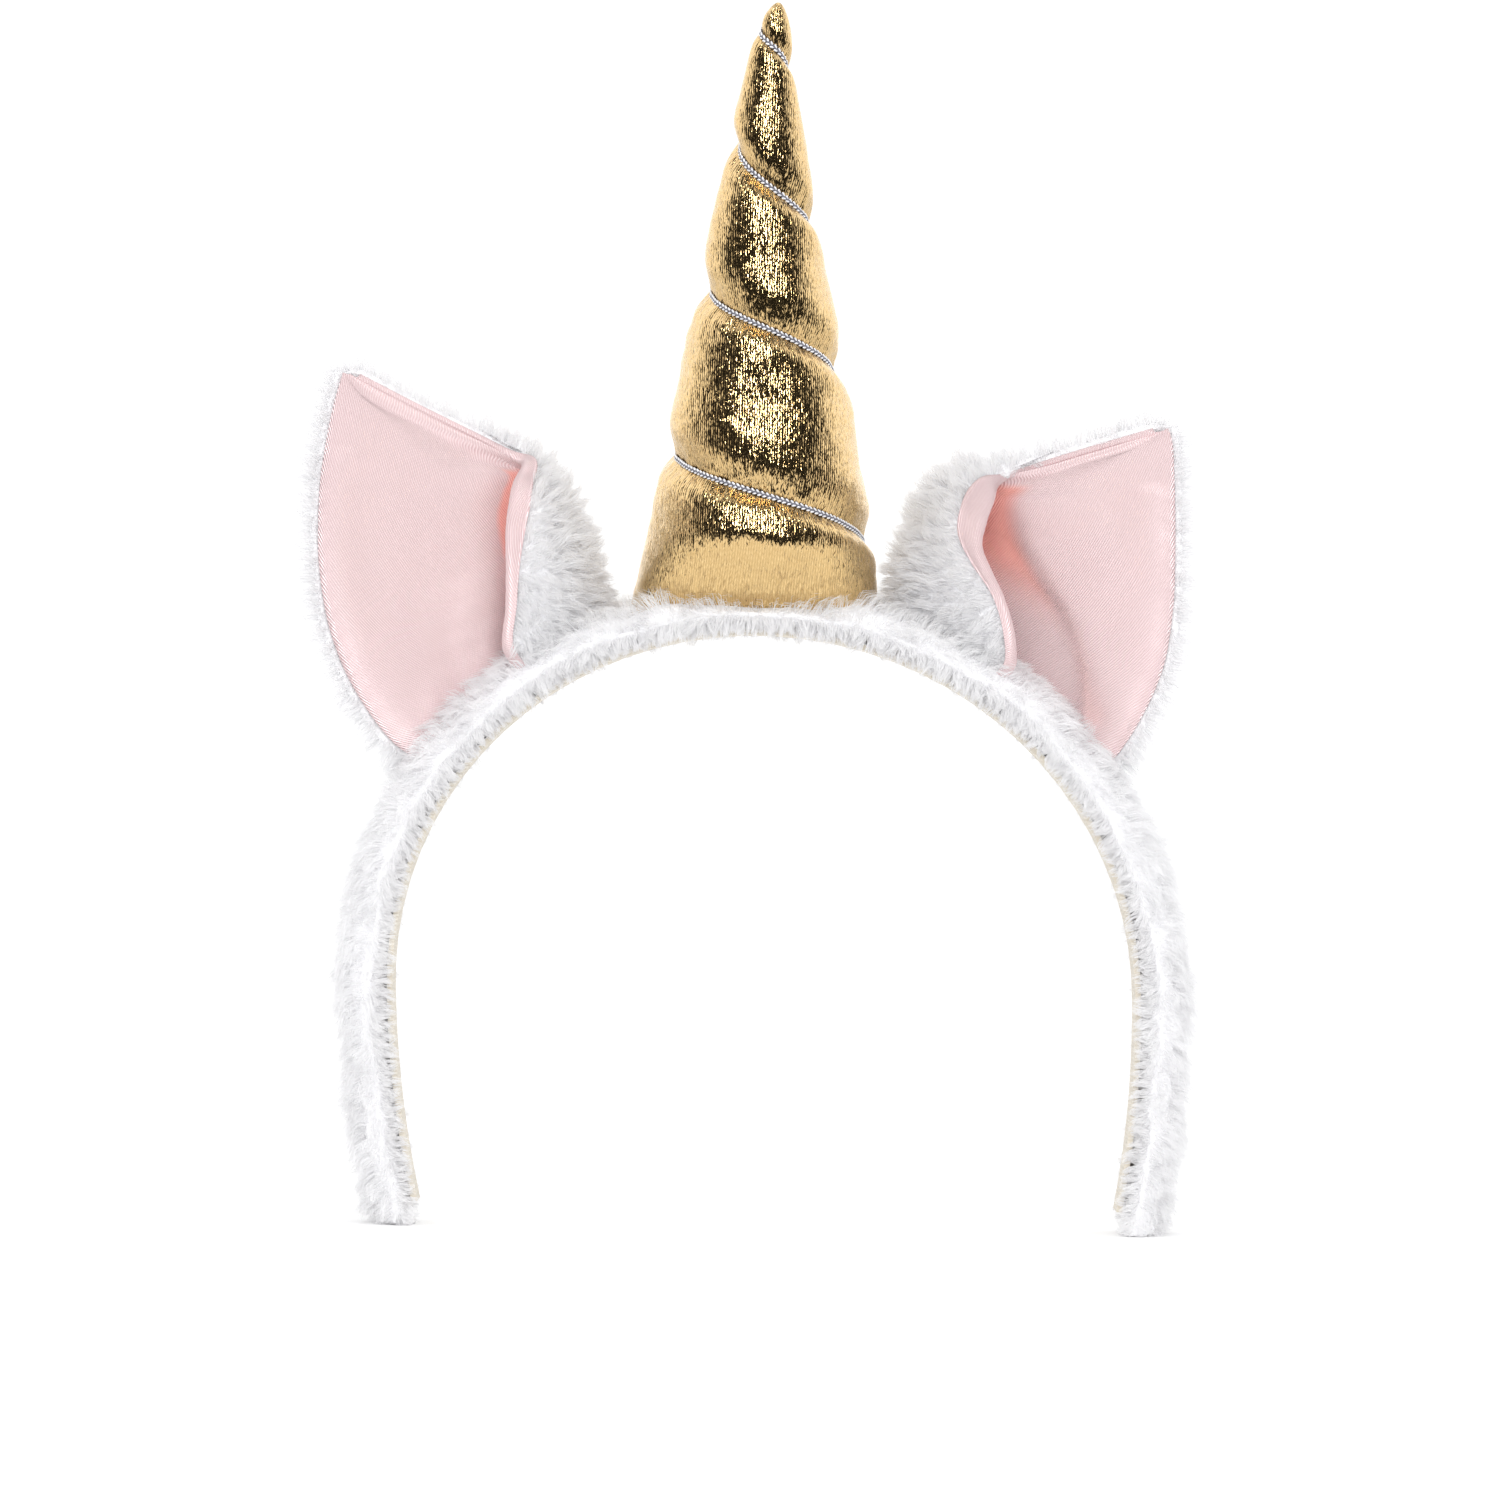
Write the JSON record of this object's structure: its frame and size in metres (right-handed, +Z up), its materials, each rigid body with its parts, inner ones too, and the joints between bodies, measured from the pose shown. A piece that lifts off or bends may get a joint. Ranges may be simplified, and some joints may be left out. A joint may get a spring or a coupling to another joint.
{
  "type": "unicorn horn headband",
  "caption": "Plush-covered arch headband with an upright stuffed gold horn wound with cord, and cupped plush ears lined with satin.",
  "frame": {"origin": "middle of the headband's box at the level of the two ends that it stands on", "axes": "+Z up through the horn, -Y towards the front that the satin ears face, +X towards the side with the ear folded at its inner edge lower down, the viewer's right"},
  "size_m": [0.1764, 0.0434, 0.2451],
  "materials": {
    "white_plush": "short tufted white pile",
    "cream_tape": "plain woven cream tape",
    "gold_lame": "glittering metallic gold knit",
    "silver_braid": "braided metallic silver cord",
    "pink_satin": "pale pink twill-backed satin"
  },
  "bodies": {
    "root": {"band_plush": "white_plush", "inner_tape": "cream_tape", "horn": "gold_lame", "spiral_cord": "silver_braid", "left_ear_plush": "white_plush", "left_ear_satin": "pink_satin", "right_ear_plush": "white_plush", "right_ear_satin": "pink_satin"}
  },
  "joints": []
}
